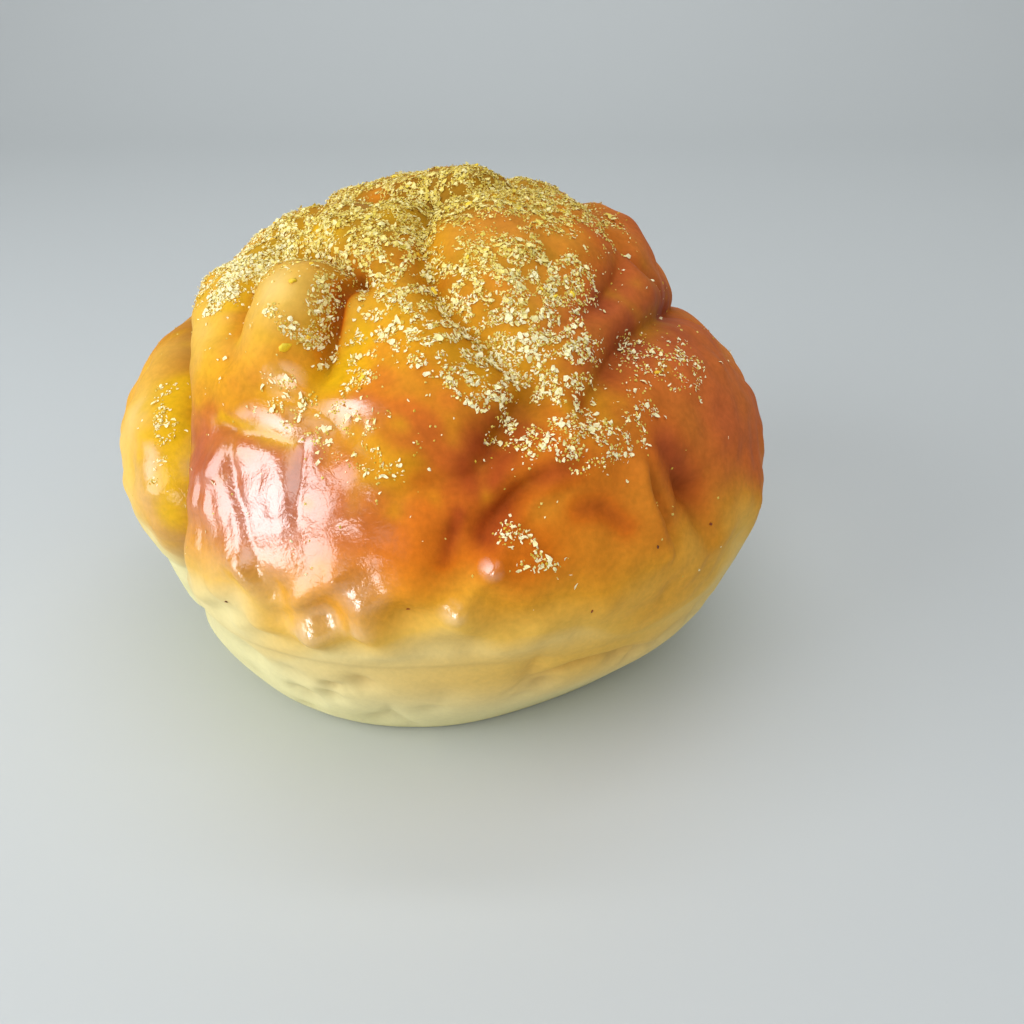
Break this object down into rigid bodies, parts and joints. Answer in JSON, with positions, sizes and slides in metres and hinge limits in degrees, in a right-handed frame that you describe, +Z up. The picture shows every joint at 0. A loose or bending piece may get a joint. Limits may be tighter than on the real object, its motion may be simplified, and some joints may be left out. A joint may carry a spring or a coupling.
{
  "type": "artificial round loaf",
  "caption": "Round lobed display loaf with deep creases, a flat base, a glossy browned skin and pale flakes stuck over its crown.",
  "frame": {"origin": "middle of the flat base that the loaf stands on", "axes": "+Z up out of the crown, -Y towards the front that the picture shows, +X to the right of that front"},
  "size_m": [0.1308, 0.1342, 0.0949],
  "materials": {
    "crust": "airbrushed foam under glossy lacquer",
    "flakes": "dry pale shreds",
    "crumbs": "dyed yellow crumbs"
  },
  "bodies": {
    "root": {"loaf": "crust"}
  },
  "joints": []
}
